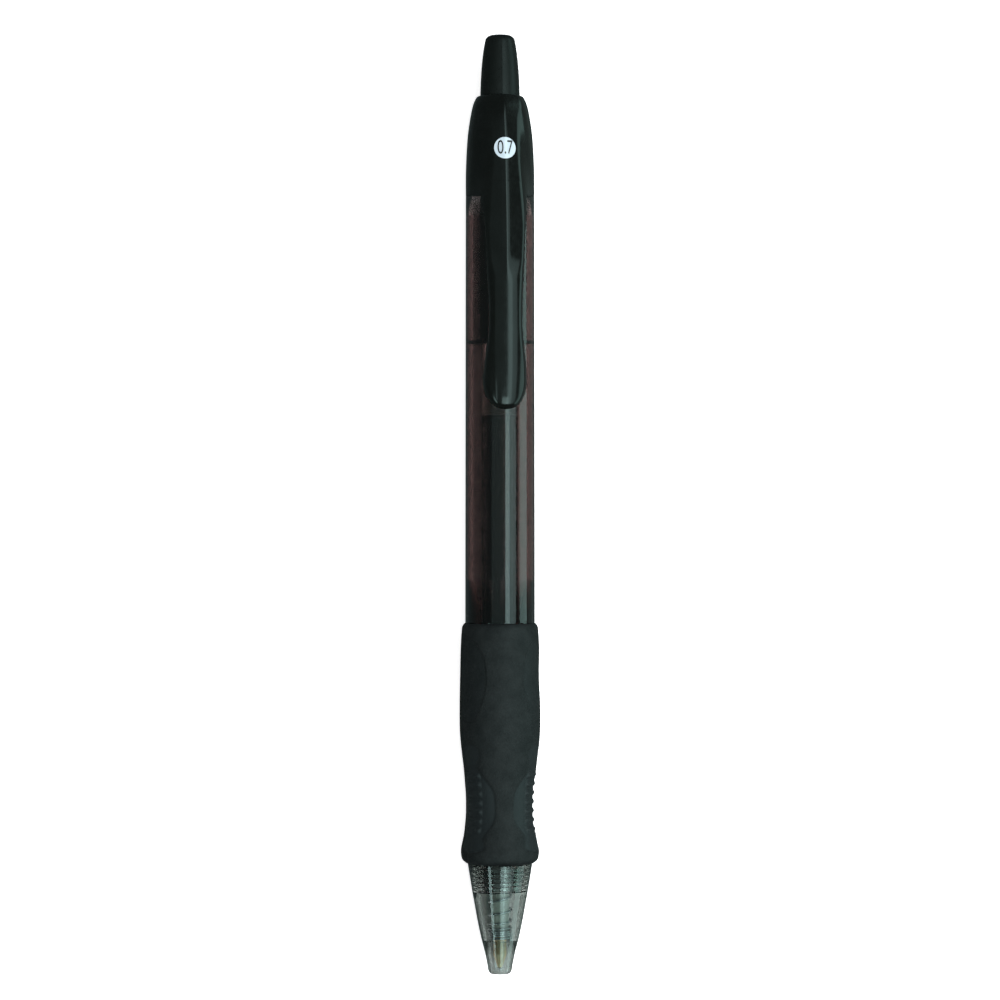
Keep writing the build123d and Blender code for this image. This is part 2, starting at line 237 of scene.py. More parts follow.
def cast(name, field, low, high, cell, body, material):
    """Mesh of the surface where field(x, h, s) is zero, inside a box, by surface nets.
    Vertices are moved onto the exact surface and shaded with its own normals."""
    axes = [np.arange(a, b + cell, cell) for a, b in zip(low, high)]
    sizes = [len(axis) for axis in axes]
    values = field(*np.meshgrid(*axes, indexing="ij"))
    inside = values < 0
    corner_count = np.zeros([n - 1 for n in sizes], int)
    for corner in np.ndindex(2, 2, 2):
        part = tuple(slice(c, c + n - 1) for c, n in zip(corner, sizes))
        corner_count += inside[part]
    cells = np.argwhere((corner_count > 0) & (corner_count < 8))
    number = np.full(corner_count.shape, -1)
    number[tuple(cells.T)] = np.arange(len(cells))
    points = np.stack([axis[cells[:, k]] + cell / 2 for k, axis in enumerate(axes)], axis=-1)
    for _ in range(6):
        slope = gradient(field, *points.T)
        size = np.maximum((slope ** 2).sum(axis=1), 1e-4)
        move = -(field(*points.T) / size)[:, None] * slope
        points += np.clip(move, -cell / 2, cell / 2)
    faces = []
    for axis in range(3):
        step = np.eye(3, dtype=int)[axis]
        first = tuple(slice(0, n - d) for n, d in zip(sizes, step))
        second = tuple(slice(d, n) for n, d in zip(sizes, step))
        crossing = inside[first] != inside[second]
        where = np.argwhere(crossing)
        side_a, side_b = [np.eye(3, dtype=int)[(axis + k) % 3] for k in (1, 2)]
        keep = ((where - side_a - side_b) >= 0).all(axis=1)
        keep &= (where < np.array(corner_count.shape)).all(axis=1)
        where = where[keep]
        quads = [where - side_a - side_b, where - side_b, where, where - side_a]
        quads = np.stack([number[tuple(q.T)] for q in quads], axis=-1)
        faces.append(quads)
    faces = np.concatenate(faces)
    piece = add_mesh(name, place(*points.T), faces.tolist(), None, material, crease=None)
    x, y, z = np.array([v.co for v in piece.data.vertices]).T / MM
    slope = gradient(field, x, z - axis_height, y + half_length)
    slope /= np.linalg.norm(slope, axis=1)[:, None]
    normals = slope[:, [0, 2, 1]]
    piece.data.normals_split_custom_set_from_vertices(normals.tolist())
    if body:
        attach(piece, body)
    return piece


# ------------------------------------------------------------------ materials

class Nodes:
    """Small helper that adds and links shader nodes of one material."""

    def __init__(self, name):
        self.material = bpy.data.materials.new(name)
        self.material.use_nodes = True
        self.tree = self.material.node_tree
        self.tree.nodes.clear()
        self.output = self.add("ShaderNodeOutputMaterial")

    def add(self, kind, **inputs):
        """New node. Inputs are given by socket name with _ for spaces; a socket value links it."""
        node = self.tree.nodes.new(kind)
        for key, value in inputs.items():
            self.set(node, key.replace("_", " "), value)
        return node

    def set(self, node, socket, value):
        target = node.inputs[socket]
        if isinstance(value, bpy.types.NodeSocket):
            self.tree.links.new(value, target)
        else:
            target.default_value = value

    def noise(self, scale, detail=3.0, roughness=0.5, stretch=(1, 1, 1)):
        """Noise value in object space. scale is in features per millimetre."""
        place_node = self.add("ShaderNodeTexCoord")
        mapping = self.add("ShaderNodeMapping", Vector=place_node.outputs["Object"])
        mapping.inputs["Scale"].default_value = stretch
        texture = self.add(
            "ShaderNodeTexNoise", Vector=mapping.outputs[0], Scale=scale / MM, Detail=detail,
            Roughness=roughness)
        return texture.outputs["Fac"]

    def spread(self, value, low, high, start=0.35, end=0.65):
        """Maps a value's middle range onto low to high."""
        ramp = self.add("ShaderNodeMapRange", Value=value)
        ramp.inputs["From Min"].default_value = start
        ramp.inputs["From Max"].default_value = end
        ramp.inputs["To Min"].default_value = low
        ramp.inputs["To Max"].default_value = high
        return ramp.outputs[0]

    def between(self, value, dark, light):
        """Colour between two colours, by a value from 0 to 1."""
        mix = self.add("ShaderNodeMix")
        mix.data_type = "RGBA"
        self.tree.links.new(value, mix.inputs["Factor"])
        mix.inputs[6].default_value = (*dark, 1)
        mix.inputs[7].default_value = (*light, 1)
        return mix.outputs[2]

    def bump(self, height, distance, strength=1.0, normal=None):
        node = self.add("ShaderNodeBump", Height=height, Distance=distance * MM, Strength=strength)
        if normal is not None:
            self.set(node, "Normal", normal)
        return node.outputs[0]

    def finish(self, surface, volume=None):
        self.tree.links.new(surface, self.output.inputs["Surface"])
        if volume is not None:
            self.tree.links.new(volume, self.output.inputs["Volume"])
        return self.material


def solid_plastic(name, dark, light, roughness, ior=1.5, grain=0.0):
    """Opaque moulded plastic: faint mottling, uneven gloss, slight waviness, optional grain."""
    nodes = Nodes(name)
    mottle = nodes.spread(nodes.noise(0.25, detail=4.0), 0, 1)
    wear = nodes.spread(nodes.noise(1.2, detail=5.0), roughness * 0.85, roughness * 1.25)
    shader = nodes.add(
        "ShaderNodeBsdfPrincipled", Base_Color=nodes.between(mottle, dark, light), Roughness=wear,
        IOR=ior)
    ripple = nodes.bump(nodes.noise(0.12, detail=1.0), 0.012)
    ripple = nodes.bump(nodes.noise(1.5, detail=2.0), 0.0035, normal=ripple)
    if grain:
        ripple = nodes.bump(nodes.noise(8.0, detail=2.0, roughness=0.6), grain, normal=ripple)
    nodes.set(shader, "Normal", ripple)
    return nodes.finish(shader.outputs[0])


def clear_plastic(name, tint, density, roughness=0.02, ior=1.5, shadow=(1, 1, 1), ripple=0.006):
    """Transparent moulded plastic whose body colour comes from absorption.
    Shadow rays pass with the shadow tint, so that lamps reach what is inside."""
    nodes = Nodes(name)
    gloss = nodes.spread(nodes.noise(0.8, detail=4.0), roughness * 0.7, roughness * 1.3)
    flow = nodes.bump(nodes.noise(0.15, detail=1.5, stretch=(1, 0.2, 1)), ripple)
    haze = nodes.spread(nodes.noise(0.3, detail=3.0), 0, 1)
    shader = nodes.add(
        "ShaderNodeBsdfPrincipled", Roughness=gloss, IOR=ior, Transmission_Weight=1.0, Normal=flow,
        Base_Color=nodes.between(haze, (0.985, 0.99, 0.985), (1, 1, 1)))
    path = nodes.add("ShaderNodeLightPath")
    through = nodes.add("ShaderNodeBsdfTransparent", Color=(*shadow, 1))
    mix = nodes.add("ShaderNodeMixShader")
    nodes.tree.links.new(path.outputs["Is Shadow Ray"], mix.inputs[0])
    nodes.tree.links.new(shader.outputs[0], mix.inputs[1])
    nodes.tree.links.new(through.outputs[0], mix.inputs[2])
    absorb = nodes.add("ShaderNodeVolumeAbsorption", Color=(*tint, 1), Density=density)
    return nodes.finish(mix.outputs[0], absorb.outputs[0])


def rubber(name, dark, light, polished):
    """Moulded rubber: fine grain on the lands, smoother in the hollows. The hollows also get a lighter
    painted sheen colour that stands in for light they reflect. The piece's "hollow" attribute says where
    the hollows are."""
    nodes = Nodes(name)
    smooth = nodes.add("ShaderNodeAttribute")
    smooth.attribute_name = "hollow"
    mottle = nodes.spread(nodes.noise(0.5, detail=5.0), 0, 1)
    gloss = nodes.spread(nodes.noise(1.5, detail=4.0), 0.52, 0.64)
    # painted sheen: the hollows' colour is made lighter to stand in for light they reflect, not a colour of
    # the rubber
    colour = nodes.add("ShaderNodeMix")
    colour.data_type = "RGBA"
    nodes.tree.links.new(smooth.outputs["Fac"], colour.inputs["Factor"])
    nodes.tree.links.new(nodes.between(mottle, dark, light), colour.inputs[6])
    colour.inputs[7].default_value = (*polished, 1)
    rough = nodes.add("ShaderNodeMix")
    rough.data_type = "FLOAT"
    nodes.tree.links.new(smooth.outputs["Fac"], rough.inputs["Factor"])
    nodes.tree.links.new(gloss, rough.inputs[2])
    rough.inputs[3].default_value = 0.42
    shader = nodes.add(
        "ShaderNodeBsdfPrincipled", Base_Color=colour.outputs[2], Roughness=rough.outputs[0], IOR=1.28)
    grain_depth = 0.085
    grain_strength = nodes.spread(smooth.outputs["Fac"], 1.0, 0.22, start=0, end=1)
    grain = nodes.noise(5.0, detail=2.0, roughness=0.6)
    bump = nodes.add(
        "ShaderNodeBump", Height=grain, Distance=grain_depth * MM, Strength=grain_strength)
    nodes.set(shader, "Normal", bump.outputs[0])
    return nodes.finish(shader.outputs[0])


def metal(name, colour, bright, roughness, turned_marks=0.0):
    """Metal with fine marks that run round the pen."""
    nodes = Nodes(name)
    tone = nodes.spread(nodes.noise(3.0, detail=4.0), 0, 1)
    marks = nodes.noise(9.0, detail=3.0, stretch=(0.05, 1, 0.05))
    gloss = nodes.spread(marks, roughness * 0.7, roughness * 1.4)
    shader = nodes.add(
        "ShaderNodeBsdfPrincipled", Base_Color=nodes.between(tone, colour, bright), Metallic=1.0,
        Roughness=gloss)
    if turned_marks:
        nodes.set(shader, "Normal", nodes.bump(marks, turned_marks))
    return nodes.finish(shader.outputs[0])


black_gloss = solid_plastic(
    "black_gloss", (0.0025, 0.003, 0.0025), (0.004, 0.005, 0.0045), 0.14, ior=1.41)
button_gloss = solid_plastic(
    "button_gloss", (0.004, 0.0055, 0.005), (0.0055, 0.007, 0.0065), 0.32, ior=1.26)
black_matt = solid_plastic("black_matt", (0.006, 0.006, 0.0065), (0.010, 0.010, 0.011), 0.32, grain=0.01)
white_pom = solid_plastic("white_pom", (0.62, 0.61, 0.57), (0.70, 0.69, 0.65), 0.3, grain=0.005)
holder_plastic = solid_plastic("holder_plastic", (0.60, 0.60, 0.55), (0.70, 0.70, 0.65), 0.25)
size_white = solid_plastic("size_white", (0.56, 0.66, 0.73), (0.60, 0.70, 0.77), 0.35)
size_ink = solid_plastic("size_ink", (0.008, 0.008, 0.008), (0.013, 0.013, 0.013), 0.3)
ink_black = solid_plastic("ink_black", (0.0015, 0.0015, 0.002), (0.003, 0.003, 0.0035), 0.08)
smoke = clear_plastic("smoke", (0.45, 0.32, 0.31), 1850, ior=1.57, shadow=(0.6, 0.4, 0.4), ripple=0.003)
clear = clear_plastic("clear", (0.50, 0.53, 0.51), 1600, shadow=(0.70, 0.73, 0.71))
tube_plastic = clear_plastic(
    "tube_plastic", (0.80, 0.82, 0.78), 120, roughness=0.12, shadow=(0.8, 0.8, 0.8))
grease = clear_plastic(
    "grease", (0.80, 0.78, 0.62), 160, roughness=0.06, ior=1.46, shadow=(0.9, 0.9, 0.85))
# The hollows' lighter colour is a painted sheen.
grip_rubber = rubber(
    "grip_rubber", (0.006, 0.0075, 0.0078), (0.010, 0.0122, 0.0125), polished=(0.012, 0.016, 0.017))
brass = metal("brass", (0.95, 0.60, 0.34), (1.0, 0.80, 0.54), 0.42, turned_marks=0.006)
ball_metal = metal("ball_metal", (0.50, 0.50, 0.52), (0.60, 0.60, 0.62), 0.12)
wire = metal("wire", (0.42, 0.42, 0.44), (0.62, 0.62, 0.63), 0.22, turned_marks=0.004)


def stands_for(piece, node):
    """The piece is shown in place of a CAD node, which is hidden."""
    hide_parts(node)
    return piece


# ------------------------------------------------------------------ grip

# Radii along the pen: the grip between its hollows, and the middle of the palm's and of the
# finger's hollow.
land = smooth_curve([
    (16.8, 4.98), (17.15, 5.50), (17.9, 5.90), (18.6, 5.965), (19.7, 5.83), (20.7, 5.61), (22.5, 5.36),
    (24.3, 5.28), (26.1, 5.27), (28.0, 5.31), (29.8, 5.41), (31.6, 5.57), (33.4, 5.79), (35.0, 5.97),
    (36.4, 6.09), (38.0, 6.15), (40.0, 6.16), (43.0, 6.13), (46.2, 6.07), (50.8, 5.94), (52.4, 5.83),
    (53.1, 5.64), (53.4, 5.40)])
palm = smooth_curve([
    (37.0, 6.40), (38.4, 6.16), (41.0, 5.98), (43.5, 5.84), (47.0, 5.78), (50.0, 5.87), (51.6, 6.05),
    (52.6, 6.40)])
finger = smooth_curve([
    (17.2, 6.45), (18.9, 5.90), (20.7, 5.51), (23.2, 5.09), (25.8, 5.00), (28.2, 5.09), (31.0, 5.45),
    (34.8, 5.91), (37.0, 6.35)])

palm_offset, palm_span = 2.6, (37.0, 52.6)
finger_offset, finger_span = 1.0, (17.2, 37.0)
hollow_step = 0.11                 # depth of the step round each hollow
rib_first, rib_pitch, rib_count = 22.2, 1.37, 7
rib_height, rib_reach, rib_fade = 0.30, 1.75, 0.55


def hollow_radius(depth, offset, low, high, away, s):
    """Radius of a hollow in a direction away from its middle. The hollow is turned round an
    axis that lies offset beyond the pen's, and doesn't cut outside low to high."""
    reach = offset + depth(s)
    across = np.maximum(reach ** 2 - (offset * np.sin(away)) ** 2, 0.01)
    radius = -offset * np.cos(away) + np.sqrt(across)
    return np.where((s > low) & (s < high) & (np.cos(away) > 0.2), radius, no_cut)


def grip_surface(angle, s):
    """(radius, share of hollow) of the grip. The angle is from the clip, round the pen."""
    lands = land(s)
    side_angle = 2 * np.pi / grip_sides
    first_side = side_angle / 2
    nearest = np.round((angle - first_side) / side_angle) * side_angle + first_side
    away = angle - nearest
    palm_radius = hollow_radius(palm, palm_offset, *palm_span, away, s)
    finger_radius = hollow_radius(finger, finger_offset, *finger_span, away, s)
    cut = np.minimum(palm_radius, finger_radius)
    share = np.clip((lands - cut) / 0.05, 0, 1)
    share = share * share * (3 - 2 * share)
    radius = merged(lands, cut, 0.04) - hollow_step * share
    # The palm's hollow gets a weaker share: less smoothing and less of the painted sheen.
    share = share * np.where(finger_radius < palm_radius, 1.0, 0.3)
    across = radius * np.sin(away)
    rib = (s - rib_first) / rib_pitch
    nearest_rib = np.clip(np.round(rib), 0, rib_count - 1)
    along = (rib - nearest_rib) * rib_pitch
    wave = 0.5 + 0.5 * np.cos(2 * np.pi * np.clip(along / rib_pitch, -0.5, 0.5))
    ends = np.clip((rib_reach - abs(across)) / rib_fade, 0, 1)
    bar = wave * ends * ends * (3 - 2 * ends) * (np.cos(away) > 0)
    return radius + rib_height * bar, share


def make_grip():
    around = 480
    stations = np.concatenate([
        grip_low + 0.8 * (1 - np.cos(np.linspace(0, np.pi / 2, 14))),
        np.linspace(grip_low + 0.9, grip_top - 0.7, 420),
        grip_top - 0.6 * (1 - np.cos(np.linspace(np.pi / 2, 0, 12)))])
    angle = np.linspace(0, 2 * np.pi, around, endpoint=False)
    s, turn = np.meshgrid(stations, angle, indexing="ij")
    radius, share = grip_surface(turn, s)
    inner_s = np.array([[grip_top] * around, [grip_low] * around])
    s = np.concatenate([s, inner_s])
    turn = np.concatenate([turn, turn[:2]])
    radius = np.concatenate([radius, np.full((2, around), seat_radius)])
    share = np.concatenate([share, np.zeros((2, around))])
    points = place(radius * np.sin(turn), radius * np.cos(turn), s).reshape(-1, 3)
    piece = add_mesh(
        "grip", points, grid_faces(len(s), around, closed_rows=True), "pen_body", grip_rubber, crease=60)
    layer = piece.data.attributes.new("hollow", "FLOAT", "POINT")
    layer.data.foreach_set("value", share.ravel().astype(np.float32))
    return stands_for(piece, "grip_sleeve")


# ------------------------------------------------------------------ housing and clip

# Along the pen: the housing's radius, the height of the clip's top above the axis, half the
# clip's width, and how far its underside is from the axis.
ogive = smooth_curve([
    (118.3, 5.22), (120.5, 5.23), (122.6, 5.20), (124.5, 5.13), (126.2, 5.03), (128.0, 4.88), (129.8, 4.63),
    (131.6, 4.30), (132.6, 4.02), (133.25, 3.72), (133.62, 3.40), (133.8, 3.10)])
crown = smooth_curve([
    (85.2, 6.1), (86.2, 6.8), (88.0, 7.32), (91.0, 7.65), (95.0, 7.8), (100.0, 7.8), (105.0, 7.7),
    (110.0, 7.5), (115.0, 7.15), (119.0, 6.75), (123.0, 6.2), (127.0, 5.55), (130.0, 4.85), (132.6, 4.0),
    (134.0, 3.4)])
half_width = smooth_curve([
    (90.0, 3.37), (93.2, 3.15), (96.6, 2.72), (99.5, 2.58), (102.5, 2.62), (106.0, 2.86), (111.0, 3.18),
    (114.2, 3.5), (117.0, 4.0), (120.0, 4.7), (124.0, 5.2), (130.0, 5.4), (134.0, 5.4)])
underside = smooth_curve([
    (80.0, 7.0), (84.0, 6.5), (86.4, 5.92), (87.8, 5.40), (88.7, 5.34), (89.6, 5.40), (93.0, 6.22),
    (95.0, 6.3), (100.0, 6.3), (113.0, 6.3), (116.0, 5.95), (118.3, 5.62), (119.0, 5.6)])
clip_crown_offset = 3.0            # the clip's top is an arc round a line this high
crest_slope, crest_core = 0.40, 0.08
crest_start, crest_full = 103.0, 110.0
bulb_station = 90.0                # the clip's round end starts here


def crest_field(x, h, s):
    """Negative under the gable that runs up the clip and over the housing to the button."""
    keen = np.clip((s - crest_start) / (crest_full - crest_start), 0, 1)
    slope = crest_slope * keen * keen * (3 - 2 * keen)
    gable = h - crown(s) + np.hypot(slope * x, crest_core) - crest_core
    return gable / np.hypot(1, slope)


def clip_field(x, h, s):
    """Negative inside the clip's bar, from its round end to where it fades into the housing."""
    top = np.hypot(x, h - clip_crown_offset) - (crown(s) - clip_crown_offset)
    top = sharper(top, crest_field(x, h, s), 0.12)
    side = abs(x) - half_width(s)
    bulb_width, bulb_length = half_width(bulb_station), bulb_station - clip_end
    past = np.minimum(s - bulb_station, 0)
    end = np.hypot(x / bulb_width, past / bulb_length) - 1
    side = np.where(s < bulb_station, end * bulb_width, side)
    return sharper(np.where(h > 0, top, no_cut), side, 0.8)


def housing_field(x, h, s):
    """Negative inside the housing, its clip and the plug that goes into the barrel."""
    out = np.hypot(x, h)
    bar = clip_field(x, h, s)
    arm = sharper(sharper(bar, underside(s) - out, 0.35), s - housing_seam - 2.0, 0.01)
    shell = sharper(out - ogive(s), housing_seam - s, 0.12)
    whole = merged(shell, sharper(bar, housing_seam - s, 0.12), 0.9)
    whole = sharper(whole, crest_field(x, h, s), 0.08)
    whole = np.minimum(whole, arm)
    plug_share = np.clip((s - plug_foot) / (housing_seam - plug_foot), 0, 1)
    plug_radius = cone_radius[0] + (cone_radius[1] - cone_radius[0]) * plug_share
    plug = np.maximum(np.maximum(out - plug_radius, plug_foot - s), s - housing_seam - 1)
    whole = merged(whole, plug, 0.02)
    whole = sharper(whole, s - housing_top, 0.25)
    whole = sharper(whole, 3.1 - out, 0.2)
    chamber = np.maximum(out - 4.0, s - (housing_top - 2.3))
    return np.maximum(whole, -chamber)


def make_housing():
    piece = cast(
        "housing_and_clip", housing_field, (-5.8, -5.8, clip_end - 0.6), (5.8, 8.4, housing_top + 0.5),
        0.125, None, black_gloss)
    root = axis_height + crown(housing_seam)
    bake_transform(piece)
    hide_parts("clip_housing", "pocket_clip")
    return piece


def on_housing(x, s, lift):
    """Height of the housing's skin above the axis, with a lift off it. It comes down in
    steps from a height above the housing."""
    h = np.full_like(x, 8.5)
    for _ in range(60):
        h -= 0.7 * housing_field(x, h, s)
    return h + lift


def make_size_mark():
    """Printed round mark with the line width in millimetres, on the housing's crest."""
    middle = 125.3
    radius = 1.65
    disc_lift, figures_lift = 0.02, 0.035
    figures_size, narrowing = 3.0, 0.66
    longest_edge = 0.12            # short enough to follow the crest
    around, rings = 96, 14
    angle = np.linspace(0, 2 * np.pi, around, endpoint=False)
    reach = np.linspace(0.02, radius, rings)
    ring, turn = np.meshgrid(reach, angle, indexing="ij")
    x, s = ring * np.cos(turn), middle + ring * np.sin(turn)
    points = place(x, on_housing(x, s, disc_lift), s).reshape(-1, 3)
    faces = grid_faces(rings, around) + [tuple(range(around))]
    disc = add_mesh("size_disc", points, faces, "pen_body", size_white, crease=None)
    letters = bpy.data.curves.new("size_figures", "FONT")
    letters.body = "0.7"
    letters.align_x = "CENTER"
    letters.align_y = "CENTER"
    letters.size = figures_size
    letters.resolution_u = 6
    text = bpy.data.objects.new("size_figures_outline", letters)
    bpy.context.scene.collection.objects.link(text)
    bpy.context.view_layer.update()
    flat = bpy.data.meshes.new_from_object(text.evaluated_get(bpy.context.evaluated_depsgraph_get()))
    bpy.data.objects.remove(text)
    cut = bmesh.new()
    cut.from_mesh(flat)
    bmesh.ops.triangulate(cut, faces=cut.faces)
    for _ in range(5):
        long_edges = [e for e in cut.edges if e.calc_length() > longest_edge]
        if long_edges:
            bmesh.ops.subdivide_edges(cut, edges=long_edges, cuts=1)
            bmesh.ops.triangulate(cut, faces=cut.faces)
    corners = np.array([v.co for v in cut.verts])
    faces = [[v.index for v in f.verts] for f in cut.faces]
    cut.free()
    bpy.data.meshes.remove(flat)
    x, s = narrowing * corners[:, 0], middle + corners[:, 1]
    points = place(x, on_housing(x, s, figures_lift), s)
    figures = add_mesh("size_figures", points, faces, "pen_body", size_ink, crease=None)


# ------------------------------------------------------------------ clear shell

def thread_ridge(angle, s, half_root):
    """Height, from 0 to 1, of the right-hand thread's ridge. half_root is half the ridge's
    width at its foot."""
    turns = (s - thread_span[0]) / thread_pitch - angle / (2 * np.pi)
    off = abs(turns - np.round(turns)) * thread_pitch
    return np.clip((half_root - off) / thread_flank, 0, 1)


def make_barrel():
    spigot = [(thread_root, s) for s in np.linspace(thread_span[0] - 0.05, thread_span[1] + 0.05, 72)]
    radius_change = barrel_radius[1] - barrel_radius[0]
    taper = [
        (barrel_radius[0] + radius_change * t, grip_top + (barrel_top - grip_top) * t)
        for t in np.linspace(0.05, 0.95, 10)]
    outline = [
        (3.0, barrel_low, 0.08), (thread_root, barrel_low, 0.12), *spigot, (thread_root, nose_top),
        (seat_radius - 0.01, nose_top), (seat_radius - 0.01, grip_top), (barrel_radius[0], grip_top, 0.15),
        *taper,
        (barrel_radius[1], barrel_top, 0.1), (cone_radius[1] + 0.03, barrel_top, 0.05),
        (cone_radius[0] + 0.03, plug_foot), (bore_radius, plug_foot),
        (bore_radius, sleeve_low + 0.56), (bore_radius + 0.24, sleeve_low + 0.54),
        (bore_radius + 0.24, sleeve_low + 0.01), (bore_radius, sleeve_low - 0.01),
        (bore_radius, 60.0, 1.2), (3.0, 54.5, 1.2)]

    def threaded(radius, angle, s):
        first, last = thread_span
        run_out = 0.35
        ends = np.clip((s - first) / run_out, 0, 1) * np.clip((last - s) / run_out, 0, 1)
        ridge = thread_ridge(angle, s, 0.21) * ends
        return np.where(abs(radius - thread_root) < 0.01, radius + thread_height * ridge, radius)

    piece = turned("barrel_shell", rounded(outline), "pen_body", smoke, around=192, shape=threaded)
    return stands_for(piece, "barrel")


def make_nose():
    cone = smooth_curve([
        (1.2, 1.88), (2.8, 2.20), (4.2, 2.54), (5.4, 2.85), (6.6, 3.12), (7.85, 3.38), (9.07, 3.61),
        (10.3, 3.83), (11.5, 4.05), (12.7, 4.26), (13.9, 4.46), (15.2, 4.67), (16.4, 4.86),
        (nose_top, 4.92)])
    minor = thread_root + 0.06
    outside = [(cone(s), s) for s in np.linspace(1.2, nose_top - 0.12, 40)]
    lip = [
        (1.28 + 0.6 * math.sin(t), 1.2 - 1.2 * math.cos(t))
        for t in np.linspace(0, math.pi / 2, 9)[:-1]]
    groove = [(minor, s) for s in np.linspace(nose_top - 0.4, barrel_low - 0.15, 84)[:-1]]
    outline = [
        (1.15, 0.06), (1.2, 0.0), *lip, *outside, (4.84, nose_top), (minor + 0.3, nose_top), *groove,
        (3.2, barrel_low - 0.9, 0.4), (2.12, 5.7, 0.6), (2.12, 5.1, 0.15), (1.5, 5.1, 0.1), (1.5, 3.2, 0.8),
        (1.15, 1.2, 0.6)]

    def threaded(radius, angle, s):
        first, last = barrel_low - 0.1, nose_top + 0.3
        cut = thread_ridge(angle, s, 0.27) * (s > first) * (s < last)
        return np.where(abs(radius - minor) < 0.01, radius + thread_height * cut, radius)

    piece = turned("nose", rounded(outline), "nose", clear, around=192, shape=threaded)
    return stands_for(piece, "nose_cone")


# ------------------------------------------------------------------ writing end and refill

def make_refill():
    collar = tube_low
    holder_front = span("tip_holder")[0]
    tip = [
        (0.22, 1.07, 0.02), (0.38, 1.07, 0.03), (0.52, 1.57, 0.1), (1.0, 3.0, 0.3),
        (1.0, holder_front, 0.05), (0.8, holder_front), (0.8, holder_front + 3.1),
        (0.2, holder_front + 3.1)]
    stands_for(turned("tip_metal", rounded(tip), "refill", brass, around=96), "metal_tip")
    ball_radius = width("writing_ball") / 2
    centre = sum(span("writing_ball")) / 2
    arc = [
        (ball_radius * math.sin(t), centre - ball_radius * math.cos(t))
        for t in np.linspace(0.01, math.pi - 0.01, 25)]
    stands_for(turned("ball", arc, "refill", ball_metal, around=48), "writing_ball")
    holder = [
        (0.82, holder_front, 0.05), (1.12, holder_front, 0.15), (1.38, holder_front + 1.4, 0.6),
        (1.38, collar - 0.8, 0.1), (2.75, collar - 0.8, 0.1), (2.75, collar - 0.02, 0.1),
        (tube_bore - 0.02, collar - 0.02), (tube_bore - 0.02, ink_low - 0.02, 0.1), (0.55, ink_low - 0.02),
        (0.55, holder_front + 3.2), (0.82, holder_front + 3.2)]
    piece = turned("holder", rounded(holder), "refill", holder_plastic, around=96)
    stands_for(piece, "tip_holder")
    tube = [
        (tube_bore, tube_low, 0.05), (tube_radius, tube_low, 0.1), (tube_radius, tube_high, 0.1),
        (tube_bore, tube_high, 0.05)]
    piece = turned("refill_pipe", rounded(tube), "refill", tube_plastic, around=128)
    stands_for(piece, "refill_tube")
    full = tube_bore + 0.01

    def hollow_top(rim):
        """Outline, from the axis out, of a liquid's top that rises 0.5 mm to its rim."""
        return [(full * t, rim - 0.5 * (1 - t * t)) for t in np.linspace(0.01, 1, 12)]

    dish = hollow_top(ink_top)
    ink = [(0.01, ink_low), (full, ink_low), *dish[::-1]]
    stands_for(turned("ink", ink, "refill", ink_black, around=96), "ink_column")
    foot = [(r, s + 0.01) for r, s in dish]
    piece = turned("grease", [*foot, *hollow_top(follower_top)[::-1]], "refill", grease, around=96)
    stands_for(piece, "grease_follower")


def make_spring():
    """Close coils at both ends and open coils between, as one wire."""
    wire_radius = 0.17
    middle = spring_radius - wire_radius
    first, last = spring_low + wire_radius, spring_high - wire_radius
    close = 2 * wire_radius + 0.04
    coils = 15
    station_of_turn = smooth_curve([
        (0, first), (2.5, first + 2.5 * close), (5, first + 5 * close),
        (5.6, first + 5.6 * close + 0.3), (11.4, last - 3.6 * close - 0.3), (12, last - 3 * close),
        (13.5, last - 1.5 * close), (coils, last)])
    steps, around = coils * 48, 14
    t = np.linspace(0, coils, steps)
    s = station_of_turn(t)
    phase = 2 * np.pi * t
    centre = np.stack([middle * np.cos(phase), -middle * np.sin(phase), s], axis=-1)
    along = np.gradient(centre, axis=0)
    along /= np.linalg.norm(along, axis=1)[:, None]
    outward = np.stack([np.cos(phase), -np.sin(phase), np.zeros(steps)], axis=-1)
    across = np.cross(along, outward)
    angle = np.linspace(0, 2 * np.pi, around, endpoint=False)
    cosine, sine = np.cos(angle)[None, :, None], np.sin(angle)[None, :, None]
    ring = outward[:, None] * cosine + across[:, None] * sine
    points = centre[:, None] + wire_radius * ring
    first_end = tuple(range(around))[::-1]
    last_end = tuple(range((steps - 1) * around, steps * around))
    faces = grid_faces(steps, around) + [first_end, last_end]
    flat = points.reshape(-1, 3)
    piece = add_mesh("spring_wire", place(flat[:, 0], flat[:, 1], flat[:, 2]), faces, "spring", wire)
    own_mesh(piece)
    return stands_for(piece, "return_spring")


# ------------------------------------------------------------------ button and mechanism

def make_button():
    side = smooth_curve([
        (131.35, 3.0), (134.0, 3.0), (136.1, 2.93), (138.0, 2.81), (139.2, 2.70), (140.4, 2.56),
        (141.3, 2.42), (141.95, 2.30)])
    walls = [(side(s), s) for s in np.linspace(131.4, 141.9, 40)]
    outline = [
        (2.02, 130.5), (3.35, 130.5, 0.1), (3.35, 131.3, 0.1), *walls, (2.22, 142.35), (2.02, 142.62),
        (1.75, 142.82), (1.45, 142.94), (1.1, button_top - 0.01), (0.6, button_top), (0.01, button_top),
        (0.01, 140.6), (2.02, 140.6)]
    clip_side, line_height = 1.5 * np.pi, 0.04

    def with_parting_line(radius, angle, s):
        on_line = (abs(angle - clip_side) < 0.01) & (s > housing_top) & (radius > 1.0)
        return np.where(on_line, radius + line_height, radius)

    piece = turned(
        "button", rounded(outline), "button", button_gloss, around=128, crease=50,
        shape=with_parting_line)
    return stands_for(piece, "push_button")


make_grip()
make_housing()
make_size_mark()
make_barrel()
make_nose()
make_refill()
make_spring()
make_button()

shown_as_modelled = {
    "cam_sleeve": black_matt,
    "plunger": black_matt,
    "cam_rotor": white_pom,
    "tail_plug": white_pom,
}
for node, material in shown_as_modelled.items():
    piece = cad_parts[node]
    piece.data.materials.clear()
    piece.data.materials.append(material)

# ------------------------------------------------------------------ stage

